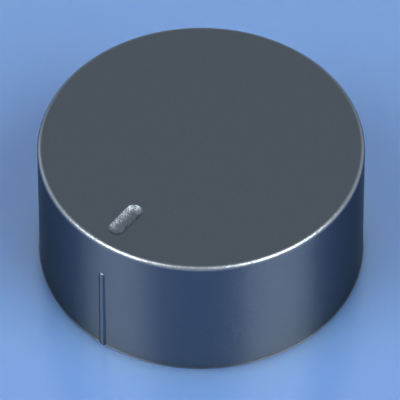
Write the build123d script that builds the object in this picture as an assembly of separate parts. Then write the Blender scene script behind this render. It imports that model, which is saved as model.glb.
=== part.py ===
from build123d import *
import os
from math import atan2, cos, radians, sin, tan

# Stove knob for a gas tap: one moulded shell and the spring band that closes its split hub.
# Millimetres. +Z runs up through the flat top, the origin is the middle of the base rim,
# and the pointer faces -Y.

# Outer form
wall_base_diameter = 41.9
knob_height = 19.0
wall_lean_in = 0.28  # how much less the radius is at the top than at the foot
top_edge_radius = 0.6
foot_lip_proud = 0.08
foot_lip_height = 0.16
foot_lip_edge_radius = 0.06

# Shell
wall_thickness = 2.0
top_thickness = 2.4
inner_corner_radius = 1.0
rim_inner_radius = 0.3
bury_share = 0.4  # how far into a wall a joined shape is sunk

# Pointer dimple in the top
dimple_length = 5.6
dimple_width = 2.25
dimple_depth = 0.5
dimple_edge_gap = 2.15
dimple_lip_radius = 0.12

# Pointer rib on the wall
rib_length = 13.55
rib_crown_width = 0.47
rib_flank_angle = 50.0  # degrees between a flank and the rib's own height
rib_end_proud = 0.18
rib_over_lip = 0.16
rib_crown_radius = 0.1
rib_end_share = 0.4  # how long the blunt end is, of a half-round one

# Hub and its shaft socket
shaft_diameter = 8.0
shaft_across_flat = 6.5
shaft_clearance = 0.05
socket_depth = 12.5
socket_lead_in = 0.5
hub_diameter = 13.0
hub_recess = 1.5
hub_edge_radius = 0.4
hub_slot_width = 1.2
hub_slot_length = 7.5

# Spring band and its groove
band_thickness = 0.5
band_width = 4.0
band_gap = 4.0
band_corner_radius = 0.8
band_clearance = 0.05
groove_depth = 0.4
groove_shoulder = 1.2

# Stiffening webs
web_count = 4
web_thickness = 1.2
web_edge_radius = 0.3
web_above_groove = 1.6
web_turn_share = 0.5  # the first web's turn from the slots, of the step between webs

# One overrun serves every cut
overrun = 1.0

# Sizes that follow
lean = atan2(wall_lean_in, knob_height)
wall_base_radius = wall_base_diameter / 2
hub_radius = hub_diameter / 2
rib_foot_proud = foot_lip_proud + rib_over_lip
ceiling_z = knob_height - top_thickness
joint_top_z = ceiling_z + top_thickness * bury_share
socket_radius = shaft_diameter / 2 + shaft_clearance
socket_flat = shaft_across_flat - shaft_diameter / 2 + shaft_clearance
groove_radius = hub_radius - groove_depth
groove_width = band_width + 2 * band_clearance
groove_bottom_z = hub_recess + groove_shoulder
groove_top_z = groove_bottom_z + groove_width
web_bottom_z = groove_top_z + web_above_groove


def standing(radius, bottom, top):
    """A cylinder on the knob's axis between two heights."""
    return Pos(Z=(bottom + top) / 2) * Cylinder(radius, top - bottom)


def drafted_round(base_radius, height, edge_radius):
    """A round body that leans in with the wall's draft, with a rounded upper edge."""
    centre_z = height - edge_radius
    centre_r = base_radius - centre_z * tan(lean) - edge_radius / cos(lean)

    def on_edge(angle):
        return (centre_r + edge_radius * cos(angle), centre_z + edge_radius * sin(angle))

    upright = radians(90)
    sides = Polyline((centre_r, height), (0, height), (0, 0), (base_radius, 0), on_edge(lean))
    edge = ThreePointArc(on_edge(lean), on_edge((lean + upright) / 2), (centre_r, height))
    return revolve(Plane.XZ * make_face(sides + edge), Axis.Z)


def foot_lip():
    """The thin lip that the mould leaves round the foot, with a rounded upper edge."""
    inner = wall_base_radius - wall_thickness * bury_share
    outer = wall_base_radius + foot_lip_proud
    centre_r = outer - foot_lip_edge_radius
    centre_z = foot_lip_height - foot_lip_edge_radius
    reach = foot_lip_edge_radius * cos(radians(45))
    sides = Polyline(
        (centre_r, foot_lip_height),
        (inner, foot_lip_height),
        (inner, 0),
        (outer, 0),
        (outer, centre_z),
    )
    middle = (centre_r + reach, centre_z + reach)
    edge = ThreePointArc((outer, centre_z), middle, (centre_r, foot_lip_height))
    return revolve(Plane.XZ * make_face(sides + edge), Axis.Z)


def pointer_rib():
    """The low rib up the front of the wall, proudest at the foot, with sloping flanks and a blunt end."""
    crown_lean = lean + atan2(rib_foot_proud - rib_end_proud, rib_length)
    upward = Vector(0, sin(crown_lean), cos(crown_lean))
    outward = Vector(0, -cos(crown_lean), sin(crown_lean))
    rise = rib_foot_proud + wall_thickness * bury_share
    flank_slope = tan(radians(rib_flank_angle))
    half_crown = rib_crown_width / 2
    half_root = half_crown + rise * flank_slope
    end_y = rib_length - rib_end_share * (half_crown + rib_end_proud * flank_slope)

    corners = [(-half_root, 0), (half_root, 0), (half_crown, rise), (-half_crown, rise)]
    section = make_face(Polyline(corners, close=True))
    section = fillet(section.vertices().sort_by(Axis.Y)[-2:], rib_crown_radius)
    foot = Vector(0, -wall_base_radius - rib_foot_proud, 0) - outward * rise
    root_plane = Plane(origin=foot, x_dir=(-1, 0, 0), z_dir=upward)
    rib = extrude(root_plane.offset(-overrun) * section, amount=end_y + overrun)
    half_section = section & Pos(-half_root, 0) * Rectangle(2 * half_root, 2 * (rise + overrun))
    blunt_end = scale(revolve(half_section, Axis.Y, 180), by=(1, 1, rib_end_share))
    rib += root_plane.offset(end_y) * blunt_end
    above_base = Pos(Z=knob_height / 2) * Box(2 * wall_base_diameter, 2 * wall_base_diameter, knob_height)
    return rib & above_base


def pointer_dimple():
    """The ball-milled hollow in the top: a round-ended trough along the pointer's radius."""
    ball = (dimple_width**2 / 4 + dimple_depth**2) / (2 * dimple_depth)
    top_radius = wall_base_radius - wall_lean_in
    outer_end = top_radius - dimple_edge_gap - dimple_width / 2
    inner_end = outer_end - (dimple_length - dimple_width)
    axis_z = knob_height - dimple_depth + ball
    middle = Pos(0, -(outer_end + inner_end) / 2, axis_z) * Rot(X=90)
    trough = middle * Cylinder(ball, outer_end - inner_end)
    for end in (inner_end, outer_end):
        trough += Pos(0, -end, axis_z) * Sphere(ball)
    return trough


def shaft_socket():
    """The D-shaped hole for the tap's shaft, with its flat on the pointer's side."""
    bore = Circle(socket_radius)
    beyond = socket_radius + overrun
    bore -= Pos(Y=-(socket_flat + beyond) / 2) * Rectangle(2 * beyond, beyond - socket_flat)
    return Pos(Z=hub_recess) * extrude(bore, amount=socket_depth)


def split_hub():
    """The hub with its shaft socket, the band's groove and two slots that let its jaws close."""
    hub = standing(hub_radius, hub_recess, joint_top_z)
    hub = fillet(hub.edges().sort_by(Axis.Z)[0], hub_edge_radius) - shaft_socket()
    mouth = hub.faces().sort_by(Axis.Z)[0].inner_wires()[0]
    hub = chamfer(mouth.edges(), socket_lead_in)
    hub -= standing(hub_radius + overrun, groove_bottom_z, groove_top_z) - standing(
        groove_radius, groove_bottom_z, groove_top_z
    )
    slot_height = hub_slot_length + overrun
    slot_middle = hub_recess - overrun + slot_height / 2
    return hub - Pos(Z=slot_middle) * Box(hub_diameter + overrun, hub_slot_width, slot_height)


def stiffening_webs():
    """Webs from the hub to the wall, between the slots and the pointer's line."""
    inner = groove_radius
    outer = wall_base_radius - wall_thickness * (1 - bury_share)
    height = joint_top_z - web_bottom_z
    web = Pos((inner + outer) / 2, 0, web_bottom_z + height / 2)
    web *= Box(outer - inner, web_thickness, height)
    web = fillet(web.edges().filter_by(Axis.X).sort_by(Axis.Z)[:2], web_edge_radius)
    step = 360 / web_count
    webs = Part()
    for index in range(web_count):
        webs += Rot(Z=step * (index + web_turn_share)) * web
    return webs


def knob_shell():
    """The whole moulding."""
    shell = drafted_round(wall_base_radius, knob_height, top_edge_radius)
    shell -= drafted_round(wall_base_radius - wall_thickness, ceiling_z, inner_corner_radius)
    shell = fillet(shell.faces().sort_by(Axis.Z)[0].inner_wires()[0].edges(), rim_inner_radius)
    shell += foot_lip()
    shell += pointer_rib()
    shell += stiffening_webs()
    shell += split_hub()
    shell -= pointer_dimple()
    dimple_rim = shell.faces().sort_by(Axis.Z)[-1].inner_wires()[0]
    return fillet(dimple_rim.edges(), dimple_lip_radius)


def spring_band():
    """The split band in the hub's groove, open at the back, with its corners rounded off."""
    inner = groove_radius + band_clearance
    outer = inner + band_thickness
    bottom = groove_bottom_z + band_clearance
    top = bottom + band_width
    band = standing(outer, bottom, top) - standing(inner, bottom, top)
    band -= Pos(0, outer, (bottom + top) / 2) * Box(band_gap, 2 * band_thickness + outer, band_width)
    ends = band.faces().filter_by(Axis.X).sort_by(Axis.Y)[-2:]
    corners = [edge for end in ends for edge in end.edges().filter_by(Axis.Y)]
    return fillet(corners, band_corner_radius)


os.makedirs("parts", exist_ok=True)
export_step(knob_shell(), "parts/knob_shell.step")
export_step(spring_band(), "parts/shaft_spring_band.step")
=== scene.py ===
from math import atan, atan2, cos, degrees, hypot, pi, radians, sin, sqrt, tan

import bmesh
import bpy
from mathutils import Matrix, Vector


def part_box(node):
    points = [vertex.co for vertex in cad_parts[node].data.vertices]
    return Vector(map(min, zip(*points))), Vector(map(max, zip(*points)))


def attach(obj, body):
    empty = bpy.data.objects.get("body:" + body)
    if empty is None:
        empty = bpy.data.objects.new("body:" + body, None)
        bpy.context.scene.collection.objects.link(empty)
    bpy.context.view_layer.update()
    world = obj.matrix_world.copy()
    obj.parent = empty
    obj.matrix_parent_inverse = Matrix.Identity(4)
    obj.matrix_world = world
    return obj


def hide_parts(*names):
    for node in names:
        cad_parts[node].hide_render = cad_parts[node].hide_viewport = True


MM = 0.001

# The photograph's view, fitted to the outlines of the knob's top and foot
PHOTO_WIDTH_PX = 400
FOCAL_LENGTH_PX = 4000
SENSOR_WIDTH_MM = 36.0
VIEW_TURN_DEG = 36.6
VIEW_ELEVATION_DEG = 49.22
VIEW_DISTANCE = 518.56 * MM
VIEW_ROLL_DEG = 0.1365
VIEW_STARTS = 5.0 * MM
AIM_HEIGHT = 8.36 * MM
AIM_ASIDE = -0.15 * MM

# The moulding's outside, as the solid has it
WALL_LEAN_IN = 0.28 * MM
TOP_EDGE_RADIUS = 0.6 * MM
FOOT_LIP_PROUD = 0.08 * MM
FOOT_LIP_HEIGHT = 0.16 * MM
FOOT_LIP_EDGE_RADIUS = 0.06 * MM
WALL_THICKNESS = 2.0 * MM
TOP_THICKNESS = 2.4 * MM
DIMPLE_LENGTH = 5.6 * MM
DIMPLE_WIDTH = 2.25 * MM
DIMPLE_DEPTH = 0.5 * MM
DIMPLE_EDGE_GAP = 2.15 * MM
DIMPLE_LIP_RADIUS = 0.12 * MM
RIB_LENGTH = 13.55 * MM
RIB_CROWN_WIDTH = 0.47 * MM
RIB_FLANK_ANGLE_DEG = 50.0
RIB_END_PROUD = 0.18 * MM
RIB_CROWN_RADIUS = 0.1 * MM
RIB_END_SHARE = 0.4

# How finely the skin is turned
SKIN_TURNS = 420
POINTER_CLOSENESS = 0.06
COARSE_STEP = 2.0 * MM
FINE_STEP = 0.05 * MM
DIMPLE_STEP = 0.5 * MM
RIB_END_STEP = 0.025 * MM
RIB_END_REACH = 0.94 * MM
ROUND_STEPS = 20
MERGE_DISTANCE = 0.0002 * MM
SHARP_ANGLE_DEG = 30.0

# Floor and backdrop
FLOOR_SIDE = 6.0
FLOOR_DROP = 0.01 * MM
FLOOR_COLOUR = "#769FD8"
FLOOR_ROUGHNESS = 0.2
FLOOR_IOR = 2.0
FLOOR_SPREAD = 14.0 * MM
FLOOR_SPREAD_SHARES = (1.0, 1.0, 1.0)
BACKDROP_COLOUR = "#E4EEF8"
BACKDROP_LEVEL_LOW = 1.0
BACKDROP_LEVEL_HIGH = 0.6
BACKDROP_HIGH_DEG = 48.0
BACKDROP_LIGHT = 0.08

# Softboxes, by their turn from the camera's side and the angles that they fill at the knob, in degrees
SOFTBOX_DISTANCE = 0.65
SOFTBOX_COLOUR = "#FFFFFF"
SOFTBOXES = {
    "left_softbox": {"turn": -60, "elevation": 47, "width": 31, "height": 38, "radiance": 6.1},
    "right_softbox": {"turn": 55, "elevation": 47, "width": 34, "height": 38, "radiance": 6.8},
    "back_left_softbox": {"turn": -122, "elevation": 30, "width": 24, "height": 22, "radiance": 0.9},
    "back_right_softbox": {"turn": 124, "elevation": 30, "width": 24, "height": 22, "radiance": 0.3},
}

# Satin metal-flake lacquer
LACQUER_DARK_FLAKE = "#656C72"
LACQUER_LIGHT_FLAKE = "#6B7278"
LACQUER_EDGE_TINT = "#A0A4A8"
LACQUER_ROUGHNESS = 0.32
FLAKE_SIZE = 0.1 * MM
FLAKE_TILT = 0.08
FLAT_FLAKE = (0.5, 0.5, 0.5)  # the middle of the colours that say how a flake leans
# Painted highlight: the lacquer in the dimple is painted lighter than on the rest of the top
DIMPLE_PAINTED_HIGHLIGHT_COLOUR = "#747C83"
DIMPLE_ROUGHNESS = 0.4
DIMPLE_FLAKE_TILT = 0.35
# Painted highlight: a lighter lacquer colour in patches round the top's rounded edge, where the lamps'
# highlight falls; the flakes lean more there
PAINTED_EDGE_HIGHLIGHT_COLOUR = "#9AA0A6"
EDGE_HIGHLIGHT_FLAKE_TILT = 0.22
EDGE_HIGHLIGHT_FADE_SHARE = 0.7
EDGE_HIGHLIGHT_PATCH = 0.3 * MM
EDGE_HIGHLIGHT_PATCHINESS = 0.3
ACROSS = (1, 1, 0)  # keeps a point's place across the knob's axis and drops its height

# Bare moulding inside
MOULDING_COLOUR = "#2E3236"
MOULDING_MIST_COLOUR = "#5A6066"
MOULDING_ROUGHNESS = 0.55
MOULDING_IOR = 1.54
SPARK_SIZE = 0.12 * MM
SPARK_DEPTH = 0.008 * MM
MIST_REACH = 3.0 * MM
MIST_PATCH = 0.7 * MM
MIST_RAGGEDNESS = 0.5

# Spring steel strip
STEEL_COLOUR = "#B4B7BA"
STEEL_SMOOTH = 0.22
STEEL_ROUGH = 0.38
ROLLED_LINE_WIDTH = 0.06 * MM
ROLLED_LINE_LENGTH = 4.0 * MM
ROLLED_LINE_DEPTH = 0.002 * MM


def linear(hex_colour):
    """An sRGB hex colour as linear red, green, blue and a full alpha."""
    channels = [int(hex_colour[i:i + 2], 16) / 255 for i in (1, 3, 5)]
    return [c / 12.92 if c <= 0.04045 else ((c + 0.055) / 1.055) ** 2.4 for c in channels] + [1.0]


def add_node(tree, kind, settings=None, links=None):
    """A new node: settings are its own properties, links are values or sockets for its inputs."""
    node = tree.nodes.new(kind)
    for name, value in (settings or {}).items():
        setattr(node, name, value)
    for socket, value in (links or {}).items():
        if isinstance(value, bpy.types.NodeSocket):
            tree.links.new(value, node.inputs[socket])
        else:
            node.inputs[socket].default_value = value
    return node


def new_material(name):
    """An empty node material and its tree."""
    material = bpy.data.materials.new(name)
    material.use_nodes = True
    material.node_tree.nodes.clear()
    return material, material.node_tree


def finish_material(tree, shader):
    """Joins the shader to the material's output."""
    add_node(tree, "ShaderNodeOutputMaterial", links={"Surface": shader.outputs["BSDF"]})


def radius_and_height(tree, place):
    """How far a point of the moulding lies from the knob's axis and above its foot."""
    across = add_node(tree, "ShaderNodeVectorMath", {"operation": "MULTIPLY"}, {0: place, 1: ACROSS})
    radius = add_node(tree, "ShaderNodeVectorMath", {"operation": "LENGTH"}, {0: across.outputs[0]})
    height = add_node(tree, "ShaderNodeSeparateXYZ", links={"Vector": place})
    return radius.outputs["Value"], height.outputs["Z"]


def painted_edge_highlight(tree, place):
    """Where the painted highlight lies on the round edge of the top, from 0 to 1, in patches."""
    radius, height = radius_and_height(tree, place)
    patches = add_node(tree, "ShaderNodeTexNoise", links={"Vector": place, "Scale": 1 / EDGE_HIGHLIGHT_PATCH})
    edge_highlight = add_node(
        tree, "ShaderNodeMapRange", links={"Value": patches.outputs["Fac"], "To Min": 1 - EDGE_HIGHLIGHT_PATCHINESS}
    ).outputs["Result"]
    for measure, edge_end in ((radius, top_radius), (height, knob_height)):
        edge_start = edge_end - TOP_EDGE_RADIUS
        onto_edge = add_node(
            tree,
            "ShaderNodeMapRange",
            links={
                "Value": measure,
                "From Min": edge_start,
                "From Max": edge_start + TOP_EDGE_RADIUS * EDGE_HIGHLIGHT_FADE_SHARE,
            },
        )
        edge_highlight = add_node(
            tree, "ShaderNodeMath", {"operation": "MULTIPLY"}, {0: edge_highlight, 1: onto_edge.outputs["Result"]}
        ).outputs["Value"]
    return edge_highlight


def dimple_hollow(tree, place):
    """1 in the dimple, below its lip, and 0 on the flat top, the edge and the wall."""
    radius, height = radius_and_height(tree, place)
    on_top = add_node(
        tree, "ShaderNodeMath", {"operation": "LESS_THAN"}, {0: radius, 1: top_radius - TOP_EDGE_RADIUS}
    )
    below_lip = add_node(
        tree,
        "ShaderNodeMapRange",
        links={
            "Value": height,
            "From Min": knob_height,
            "From Max": knob_height - DIMPLE_LIP_RADIUS,
        },
    )
    return add_node(
        tree,
        "ShaderNodeMath",
        {"operation": "MULTIPLY"},
        {0: on_top.outputs["Value"], 1: below_lip.outputs["Result"]},
    ).outputs["Value"]


def satin_metal_flake_lacquer():
    """Silver-grey lacquer with aluminium flakes, sprayed on the moulding: it gives a satin sheen, with
    single flakes that glint at the edge of a highlight. A painted highlight lies on the round edge of the
    top: the lacquer's colour is lighter there, in patches, and its flakes lean more. In the dimple the
    lacquer is rougher, its colour is painted lighter as a painted highlight, and its flakes lie less flat,
    so that the dimple's side sparkles. The flakes are drawn coarser than real ones, which are about
    0.03 mm across, so that they show."""
    material, tree = new_material("satin_metal_flake_lacquer")
    place = add_node(tree, "ShaderNodeTexCoord").outputs["Object"]
    # Mask of the painted highlight round the top's edge
    edge_highlight = painted_edge_highlight(tree, place)
    hollow = dimple_hollow(tree, place)
    gloss = add_node(
        tree,
        "ShaderNodeMapRange",
        links={"Value": hollow, "To Min": LACQUER_ROUGHNESS, "To Max": DIMPLE_ROUGHNESS},
    )
    tilt = add_node(
        tree, "ShaderNodeMapRange", links={"Value": edge_highlight, "To Min": FLAKE_TILT, "To Max": EDGE_HIGHLIGHT_FLAKE_TILT}
    )
    tilt = add_node(
        tree,
        "ShaderNodeMapRange",
        links={"Value": hollow, "To Min": tilt.outputs["Result"], "To Max": DIMPLE_FLAKE_TILT},
    )
    flake = add_node(tree, "ShaderNodeTexVoronoi", links={"Vector": place, "Scale": 1 / FLAKE_SIZE})
    lean = add_node(
        tree,
        "ShaderNodeVectorMath",
        {"operation": "SUBTRACT"},
        {0: flake.outputs["Color"], 1: FLAT_FLAKE},
    )
    lean = add_node(
        tree,
        "ShaderNodeVectorMath",
        {"operation": "SCALE"},
        {0: lean.outputs[0], "Scale": tilt.outputs["Result"]},
    )
    facing = add_node(
        tree,
        "ShaderNodeVectorMath",
        {"operation": "ADD"},
        {0: lean.outputs[0], 1: add_node(tree, "ShaderNodeNewGeometry").outputs["Normal"]},
    )
    facing = add_node(tree, "ShaderNodeVectorMath", {"operation": "NORMALIZE"}, {0: facing.outputs[0]})
    tone = add_node(tree, "ShaderNodeSeparateColor", links={"Color": flake.outputs["Color"]})
    colour = add_node(
        tree,
        "ShaderNodeMix",
        {"data_type": "RGBA"},
        {
            "Factor": tone.outputs["Red"],
            "A": linear(LACQUER_DARK_FLAKE),
            "B": linear(LACQUER_LIGHT_FLAKE),
        },
    )
    # Painted highlights: the lacquer's colour is painted lighter round the top's edge and in the dimple
    for mask, place_colour in ((edge_highlight, PAINTED_EDGE_HIGHLIGHT_COLOUR), (hollow, DIMPLE_PAINTED_HIGHLIGHT_COLOUR)):
        colour = add_node(
            tree,
            "ShaderNodeMix",
            {"data_type": "RGBA"},
            {"Factor": mask, "A": colour.outputs["Result"], "B": linear(place_colour)},
        )
    shader = add_node(
        tree,
        "ShaderNodeBsdfPrincipled",
        links={
            "Base Color": colour.outputs["Result"],
            "Specular Tint": linear(LACQUER_EDGE_TINT),
            "Metallic": 1.0,
            "Roughness": gloss.outputs["Result"],
            "Normal": facing.outputs[0],
        },
    )
    finish_material(tree, shader)
    return material


def bare_moulded_abs():
    """Dark grey ABS as it left the mould, on the inside: dull, with a fine spark-eroded grain, and a
    ragged mist of lacquer that drifted in past the rim."""
    material, tree = new_material("bare_moulded_abs")
    place = add_node(tree, "ShaderNodeTexCoord").outputs["Object"]
    height = add_node(tree, "ShaderNodeSeparateXYZ", links={"Vector": place}).outputs["Z"]
    patches = add_node(tree, "ShaderNodeTexNoise", links={"Vector": place, "Scale": 1 / MIST_PATCH})
    ragged = add_node(
        tree,
        "ShaderNodeMapRange",
        links={
            "Value": patches.outputs["Fac"],
            "To Min": MIST_REACH * (1 - MIST_RAGGEDNESS),
            "To Max": MIST_REACH * (1 + MIST_RAGGEDNESS),
        },
    )
    mist = add_node(
        tree,
        "ShaderNodeMapRange",
        links={
            "Value": height,
            "From Min": 0.0,
            "From Max": ragged.outputs["Result"],
            "To Min": 1.0,
            "To Max": 0.0,
        },
    )
    colour = add_node(
        tree,
        "ShaderNodeMix",
        {"data_type": "RGBA"},
        {
            "Factor": mist.outputs["Result"],
            "A": linear(MOULDING_COLOUR),
            "B": linear(MOULDING_MIST_COLOUR),
        },
    )
    grain = add_node(
        tree,
        "ShaderNodeTexNoise",
        links={"Vector": place, "Scale": 1 / SPARK_SIZE},
    )
    bump = add_node(
        tree,
        "ShaderNodeBump",
        links={"Height": grain.outputs["Fac"], "Strength": 1.0, "Distance": SPARK_DEPTH},
    )
    shader = add_node(
        tree,
        "ShaderNodeBsdfPrincipled",
        links={
            "Base Color": colour.outputs["Result"],
            "Roughness": MOULDING_ROUGHNESS,
            "IOR": MOULDING_IOR,
            "Normal": bump.outputs["Normal"],
        },
    )
    finish_material(tree, shader)
    return material


def rolled_spring_steel():
    """Cold-rolled spring steel strip: bright, with fine lines that the rolls leave along the strip."""
    material, tree = new_material("rolled_spring_steel")
    place = add_node(tree, "ShaderNodeTexCoord").outputs["Object"]
    stretched = add_node(
        tree,
        "ShaderNodeVectorMath",
        {"operation": "MULTIPLY"},
        {0: place, 1: (1 / ROLLED_LINE_LENGTH, 1 / ROLLED_LINE_LENGTH, 1 / ROLLED_LINE_WIDTH)},
    )
    lines = add_node(tree, "ShaderNodeTexNoise", links={"Vector": stretched.outputs[0], "Scale": 1.0})
    gloss = add_node(
        tree,
        "ShaderNodeMapRange",
        links={"Value": lines.outputs["Fac"], "To Min": STEEL_SMOOTH, "To Max": STEEL_ROUGH},
    )
    bump = add_node(
        tree,
        "ShaderNodeBump",
        links={"Height": lines.outputs["Fac"], "Strength": 1.0, "Distance": ROLLED_LINE_DEPTH},
    )
    shader = add_node(
        tree,
        "ShaderNodeBsdfPrincipled",
        links={
            "Base Color": linear(STEEL_COLOUR),
            "Metallic": 1.0,
            "Roughness": gloss.outputs["Result"],
            "Normal": bump.outputs["Normal"],
        },
    )
    finish_material(tree, shader)
    return material


def pale_opal_glass():
    """A pale sheet of opal glass for the floor: light spreads inside it, so that the shade at the knob's
    foot is soft, and its gloss gives the softboxes back to the knob's wall."""
    material, tree = new_material("pale_opal_glass")
    shader = add_node(
        tree,
        "ShaderNodeBsdfPrincipled",
        links={
            "Base Color": linear(FLOOR_COLOUR),
            "Roughness": FLOOR_ROUGHNESS,
            "IOR": FLOOR_IOR,
            "Subsurface Weight": 1.0,
            "Subsurface Radius": FLOOR_SPREAD_SHARES,
            "Subsurface Scale": FLOOR_SPREAD,
        },
    )
    finish_material(tree, shader)
    return material


def steps(first, last, step):
    """Evenly spaced values from first up to, but not with, last."""
    count = max(1, round(abs(last - first) / step))
    return [first + (last - first) * index / count for index in range(count)]


def quarter_round(centre_r, centre_z, radius, first_deg, last_deg):
    """Points of a rounded edge, from the first angle to the last."""
    angles = [first_deg + (last_deg - first_deg) * index / ROUND_STEPS for index in range(ROUND_STEPS + 1)]
    return [
        (centre_r + radius * cos(radians(angle)), centre_z + radius * sin(radians(angle)))
        for angle in angles
    ]


def turned_profile():
    """The outside's section from the middle of the top to the foot, with the finest steps where the
    pointer's shapes end."""
    lean = WALL_LEAN_IN / knob_height
    edge_z = knob_height - TOP_EDGE_RADIUS
    edge_r = wall_base_radius - edge_z * lean - TOP_EDGE_RADIUS * sqrt(1 + lean**2)
    round_end = DIMPLE_WIDTH / 2 + DIMPLE_LIP_RADIUS
    radii = steps(0, dimple_inner_end - round_end, COARSE_STEP)
    radii += steps(dimple_inner_end - round_end, dimple_inner_end, FINE_STEP)
    radii += steps(dimple_inner_end, dimple_outer_end, DIMPLE_STEP)
    radii += steps(dimple_outer_end, dimple_outer_end + round_end, FINE_STEP)
    radii += steps(dimple_outer_end + round_end, edge_r, COARSE_STEP)
    points = [(radius, knob_height) for radius in radii if radius < edge_r]
    points += quarter_round(edge_r, edge_z, TOP_EDGE_RADIUS, 90, degrees(atan(lean)))
    rib_end_below = RIB_LENGTH - RIB_END_REACH
    heights = steps(edge_z - TOP_EDGE_RADIUS, RIB_LENGTH, COARSE_STEP)
    heights += steps(RIB_LENGTH, rib_end_below, RIB_END_STEP)
    heights += steps(rib_end_below, FOOT_LIP_HEIGHT, COARSE_STEP)
    points += [(wall_base_radius - height * lean, height) for height in heights]
    points.append((wall_base_radius - FOOT_LIP_HEIGHT * lean, FOOT_LIP_HEIGHT))
    lip_r = wall_base_radius + FOOT_LIP_PROUD - FOOT_LIP_EDGE_RADIUS
    points += quarter_round(lip_r, FOOT_LIP_HEIGHT - FOOT_LIP_EDGE_RADIUS, FOOT_LIP_EDGE_RADIUS, 90, 0)
    return points + [(wall_base_radius + FOOT_LIP_PROUD, 0)]


def turned_skin_tree():
    """Geometry Nodes that turn a profile about the knob's axis, with the turns closest at the pointer."""
    tree = bpy.data.node_groups.new("turned_skin", "GeometryNodeTree")
    tree.interface.new_socket("Profile", in_out="INPUT", socket_type="NodeSocketGeometry")
    tree.interface.new_socket("Turns", in_out="INPUT", socket_type="NodeSocketInt")
    tree.interface.new_socket("Closeness", in_out="INPUT", socket_type="NodeSocketFloat")
    tree.interface.new_socket("Finish", in_out="INPUT", socket_type="NodeSocketMaterial")
    tree.interface.new_socket("Skin", in_out="OUTPUT", socket_type="NodeSocketGeometry")
    given = add_node(tree, "NodeGroupInput").outputs
    rows = add_node(
        tree, "GeometryNodeAttributeDomainSize", links={"Geometry": given["Profile"]}
    ).outputs["Point Count"]
    columns = add_node(tree, "ShaderNodeMath", {"operation": "ADD"}, {0: given["Turns"], 1: 1.0})
    grid = add_node(
        tree,
        "GeometryNodeMeshGrid",
        links={"Vertices X": columns.outputs["Value"], "Vertices Y": rows},
    )
    index = add_node(tree, "GeometryNodeInputIndex").outputs["Index"]
    row = add_node(tree, "ShaderNodeMath", {"operation": "MODULO"}, {0: index, 1: rows})
    column = add_node(tree, "ShaderNodeMath", {"operation": "DIVIDE"}, {0: index, 1: rows})
    column = add_node(tree, "ShaderNodeMath", {"operation": "FLOOR"}, {0: column.outputs["Value"]})
    aside = add_node(
        tree,
        "ShaderNodeMapRange",
        links={
            "Value": column.outputs["Value"],
            "From Max": given["Turns"],
            "To Min": -1.0,
            "To Max": 1.0,
        },
    ).outputs["Result"]
    square = add_node(tree, "ShaderNodeMath", {"operation": "MULTIPLY"}, {0: aside, 1: aside})
    spread = add_node(
        tree,
        "ShaderNodeMapRange",
        links={"Value": square.outputs["Value"], "To Min": given["Closeness"], "To Max": 1.0},
    )
    turn = add_node(
        tree, "ShaderNodeMath", {"operation": "MULTIPLY"}, {0: aside, 1: spread.outputs["Result"]}
    )
    turn = add_node(tree, "ShaderNodeMath", {"operation": "MULTIPLY"}, {0: turn.outputs["Value"], 1: pi})
    section = add_node(
        tree,
        "GeometryNodeSampleIndex",
        {"data_type": "FLOAT_VECTOR"},
        {
            "Geometry": given["Profile"],
            "Value": add_node(tree, "GeometryNodeInputPosition").outputs["Position"],
            "Index": row.outputs["Value"],
        },
    )
    place = add_node(
        tree,
        "ShaderNodeVectorRotate",
        {"rotation_type": "Z_AXIS"},
        {"Vector": section.outputs["Value"], "Angle": turn.outputs["Value"]},
    )
    turned = add_node(
        tree,
        "GeometryNodeSetPosition",
        links={"Geometry": grid.outputs["Mesh"], "Position": place.outputs["Vector"]},
    )
    closed = add_node(
        tree,
        "GeometryNodeMergeByDistance",
        links={"Geometry": turned.outputs["Geometry"], "Distance": MERGE_DISTANCE},
    )
    plain = add_node(
        tree, "GeometryNodeRealizeInstances", links={"Geometry": closed.outputs["Geometry"]}
    )
    finished = add_node(
        tree,
        "GeometryNodeSetMaterial",
        links={"Geometry": plain.outputs["Geometry"], "Material": given["Finish"]},
    )
    add_node(tree, "NodeGroupOutput", links={"Skin": finished.outputs["Geometry"]})
    return tree


def turned_skin(finish):
    """The moulding's outside as a plain mesh, before the pointer is pressed into it."""
    points = turned_profile()
    line = bpy.data.meshes.new("profile")
    edges = [(index, index + 1) for index in range(len(points) - 1)]
    line.from_pydata([(0, -radius, height) for radius, height in points], edges, [])
    profile = bpy.data.objects.new("profile", line)
    bpy.context.scene.collection.objects.link(profile)
    modifier = profile.modifiers.new("turned_skin", "NODES")
    modifier.node_group = turned_skin_tree()
    values = {"Turns": SKIN_TURNS, "Closeness": POINTER_CLOSENESS, "Finish": finish}
    for socket in modifier.node_group.interface.items_tree:
        if socket.name in values:
            modifier[socket.identifier] = values[socket.name]
    skin = bpy.data.meshes.new_from_object(profile.evaluated_get(bpy.context.evaluated_depsgraph_get()))
    bpy.data.objects.remove(profile)
    return skin


def dimple_drop(x, y):
    """How far the dimple's trough lies below the top at a point of the top."""
    ball = (DIMPLE_WIDTH**2 / 4 + DIMPLE_DEPTH**2) / (2 * DIMPLE_DEPTH)
    past_end = max(dimple_inner_end + y, -y - dimple_outer_end, 0)
    from_line = hypot(x, past_end)
    lip_start = sqrt((ball + DIMPLE_LIP_RADIUS) ** 2 - (ball - DIMPLE_DEPTH + DIMPLE_LIP_RADIUS) ** 2)
    lip_end = lip_start * ball / (ball + DIMPLE_LIP_RADIUS)
    if from_line >= lip_start:
        return 0
    if from_line >= lip_end:
        return DIMPLE_LIP_RADIUS - sqrt(DIMPLE_LIP_RADIUS**2 - (lip_start - from_line) ** 2)
    return DIMPLE_DEPTH - ball + sqrt(ball**2 - from_line**2)


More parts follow.
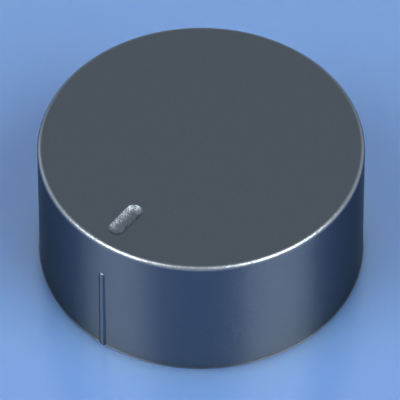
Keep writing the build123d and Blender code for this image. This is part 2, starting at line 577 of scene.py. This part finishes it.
def rib_reach(x, z):
    """How far the rib's surface lies in front of the knob's axis, at a height and a place across it."""
    lean = atan2(WALL_LEAN_IN, knob_height) + atan2(rib_foot_proud - RIB_END_PROUD, RIB_LENGTH)
    flank = radians(RIB_FLANK_ANGLE_DEG)
    half_crown = RIB_CROWN_WIDTH / 2
    end_start = RIB_LENGTH - RIB_END_SHARE * (half_crown + RIB_END_PROUD * tan(flank))
    from_line = hypot(x, max(z / cos(lean) - end_start, 0) / RIB_END_SHARE)
    flat_end = half_crown - RIB_CROWN_RADIUS * tan((pi / 2 - flank) / 2)
    flank_start = flat_end + RIB_CROWN_RADIUS * cos(flank)
    below_crown = 0
    if from_line > flank_start:
        below_crown = (from_line - half_crown) / tan(flank)
    elif from_line > flat_end:
        below_crown = RIB_CROWN_RADIUS - sqrt(RIB_CROWN_RADIUS**2 - (from_line - flat_end) ** 2)
    return wall_base_radius + rib_foot_proud - z * tan(lean) - below_crown / cos(lean)


def press_pointer(skin):
    """Sinks the dimple into the turned top and raises the rib on the turned wall."""
    for vertex in skin.vertices:
        x, y, z = vertex.co
        if z > knob_height - MERGE_DISTANCE:
            vertex.co.z -= dimple_drop(x, y)
        elif y < 0 and abs(x) < WALL_THICKNESS:
            vertex.co.y = min(y, -rib_reach(x, z))


def is_outside(face):
    """Whether a face of the solid belongs to its skin or its foot, and not to the hollow inside."""
    on_wall = all(v.co.xy.length > wall_base_radius - WALL_THICKNESS / 2 for v in face.verts)
    on_top = all(v.co.z > knob_height - TOP_THICKNESS / 2 for v in face.verts)
    on_foot = all(abs(v.co.z) < MERGE_DISTANCE for v in face.verts)
    return on_wall or on_top or on_foot


def knob_moulding(lacquer, bare):
    """The moulding, with a finely turned skin round the solid's own inside."""
    skin = turned_skin(lacquer)
    press_pointer(skin)
    build = bmesh.new()
    build.from_mesh(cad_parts["knob_shell"].data)
    bmesh.ops.remove_doubles(build, verts=build.verts, dist=MERGE_DISTANCE)
    outside = [face for face in build.faces if is_outside(face)]
    bmesh.ops.delete(build, geom=outside, context="FACES")
    inside = list(build.faces)
    build.from_mesh(skin)
    bpy.data.meshes.remove(skin)

    # The foot is filled at a larger size, because the fill overlooks edges as short as these, and faces
    # that the rib has pressed flat are dissolved
    bmesh.ops.scale(build, vec=Vector((1, 1, 1)) / MM, verts=build.verts)
    rims = [edge for edge in build.edges if edge.is_boundary]
    bmesh.ops.triangle_fill(build, use_beauty=True, edges=rims)
    bmesh.ops.dissolve_degenerate(build, dist=MERGE_DISTANCE / MM, edges=build.edges)
    bmesh.ops.scale(build, vec=Vector((1, 1, 1)) * MM, verts=build.verts)
    bmesh.ops.recalc_face_normals(build, faces=build.faces)
    for face in build.faces:
        face.smooth = True
        face.material_index = 0
    for face in inside:
        face.material_index = 1
    mesh = bpy.data.meshes.new("knob_moulding")
    build.to_mesh(mesh)
    build.free()
    if "custom_normal" in mesh.attributes:
        mesh.attributes.remove(mesh.attributes["custom_normal"])
    mesh.set_sharp_from_angle(angle=radians(SHARP_ANGLE_DEG))
    mesh.materials.append(lacquer)
    mesh.materials.append(bare)
    moulding = bpy.data.objects.new("knob_moulding", mesh)
    bpy.context.scene.collection.objects.link(moulding)
    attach(moulding, "root")
    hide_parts("knob_shell")


def dress(node_name, material):
    """Gives a CAD node its finish."""
    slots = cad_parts[node_name].data.materials
    slots.clear()
    slots.append(material)


def direction(turn_deg, elevation_deg):
    """Unit vector from the knob, by turn from the camera's side and height above the floor."""
    turn = radians(VIEW_TURN_DEG + turn_deg)
    rise = radians(elevation_deg)
    return Vector((sin(turn) * cos(rise), -cos(turn) * cos(rise), sin(rise)))


def lay_floor():
    """The plain floor that the knob stands on."""
    half = FLOOR_SIDE / 2
    corners = [(-half, -half), (half, -half), (half, half), (-half, half)]
    mesh = bpy.data.meshes.new("floor")
    mesh.from_pydata([(x, y, -FLOOR_DROP) for x, y in corners], [], [range(len(corners))])
    mesh.materials.append(pale_opal_glass())
    floor = bpy.data.objects.new("floor", mesh)
    bpy.context.scene.collection.objects.link(floor)


def hang_backdrop():
    """Plain surroundings, palest at the floor, that are seen and mirrored but give little light."""
    world = bpy.data.worlds.new("backdrop")
    world.use_nodes = True
    tree = world.node_tree
    tree.nodes.clear()
    path = add_node(tree, "ShaderNodeLightPath")
    seen = add_node(
        tree,
        "ShaderNodeMath",
        {"operation": "MAXIMUM"},
        {0: path.outputs["Is Camera Ray"], 1: path.outputs["Is Glossy Ray"]},
    )
    seen = add_node(
        tree,
        "ShaderNodeMath",
        {"operation": "MAXIMUM"},
        {0: seen.outputs["Value"], 1: path.outputs["Is Transmission Ray"]},
    )
    outlook = add_node(tree, "ShaderNodeTexCoord").outputs["Generated"]
    level = add_node(
        tree,
        "ShaderNodeMapRange",
        links={
            "Value": add_node(tree, "ShaderNodeSeparateXYZ", links={"Vector": outlook}).outputs["Z"],
            "From Max": sin(radians(BACKDROP_HIGH_DEG)),
            "To Min": BACKDROP_LEVEL_LOW,
            "To Max": BACKDROP_LEVEL_HIGH,
        },
    )
    strength = add_node(
        tree,
        "ShaderNodeMapRange",
        links={
            "Value": seen.outputs["Value"],
            "To Min": BACKDROP_LIGHT,
            "To Max": level.outputs["Result"],
        },
    )
    surroundings = add_node(
        tree,
        "ShaderNodeBackground",
        links={"Color": linear(BACKDROP_COLOUR), "Strength": strength.outputs["Result"]},
    )
    add_node(tree, "ShaderNodeOutputWorld", links={"Surface": surroundings.outputs["Background"]})
    bpy.context.scene.world = world


def hang_softbox(name, turn, elevation, width, height, radiance):
    """A rectangular soft light that faces the knob, sized by the angles that it fills."""
    across = [2 * SOFTBOX_DISTANCE * tan(radians(angle / 2)) for angle in (width, height)]
    light = bpy.data.lights.new(name, "AREA")
    light.shape = "RECTANGLE"
    light.size, light.size_y = across
    light.color = linear(SOFTBOX_COLOUR)[:3]
    light.energy = radiance * across[0] * across[1] * pi
    softbox = bpy.data.objects.new(name, light)
    outward = direction(turn, elevation)
    softbox.location = outward * SOFTBOX_DISTANCE
    softbox.rotation_euler = outward.to_track_quat("Z", "Y").to_euler()
    bpy.context.scene.collection.objects.link(softbox)


def set_camera():
    """The camera, with the photograph's lens, place and small roll."""
    lens = bpy.data.cameras.new("camera")
    lens.sensor_width = SENSOR_WIDTH_MM
    lens.lens = SENSOR_WIDTH_MM * FOCAL_LENGTH_PX / PHOTO_WIDTH_PX
    lens.clip_start = VIEW_STARTS
    camera = bpy.data.objects.new("camera", lens)
    place = direction(0, VIEW_ELEVATION_DEG) * VIEW_DISTANCE
    aside = direction(90, 0) * AIM_ASIDE
    forward = (Vector((0, 0, AIM_HEIGHT)) + aside - place).normalized()
    level_right = forward.cross(Vector((0, 0, 1))).normalized()
    level_up = level_right.cross(forward)
    roll = radians(VIEW_ROLL_DEG)
    up = level_up * cos(roll) + level_right * sin(roll)
    right = forward.cross(up)
    camera.matrix_world = Matrix.Translation(place) @ Matrix((right, up, -forward)).transposed().to_4x4()
    bpy.context.scene.collection.objects.link(camera)
    bpy.context.scene.camera = camera


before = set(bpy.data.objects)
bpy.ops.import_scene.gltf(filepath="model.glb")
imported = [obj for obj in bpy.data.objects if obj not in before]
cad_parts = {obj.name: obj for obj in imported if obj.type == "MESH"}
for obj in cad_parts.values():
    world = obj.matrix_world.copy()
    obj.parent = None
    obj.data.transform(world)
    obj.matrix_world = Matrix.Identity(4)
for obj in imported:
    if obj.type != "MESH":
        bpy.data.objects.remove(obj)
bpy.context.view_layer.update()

low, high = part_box("knob_shell")
knob_height = high.z
wall_base_radius = high.x - FOOT_LIP_PROUD
rib_foot_proud = -low.y - wall_base_radius
top_radius = wall_base_radius - WALL_LEAN_IN
dimple_outer_end = top_radius - DIMPLE_EDGE_GAP - DIMPLE_WIDTH / 2
dimple_inner_end = dimple_outer_end - (DIMPLE_LENGTH - DIMPLE_WIDTH)

knob_moulding(satin_metal_flake_lacquer(), bare_moulded_abs())
dress("shaft_spring_band", rolled_spring_steel())

lay_floor()
hang_backdrop()
for softbox_name, placing in SOFTBOXES.items():
    hang_softbox(softbox_name, **placing)
set_camera()
bpy.context.scene.view_settings.view_transform = "Standard"
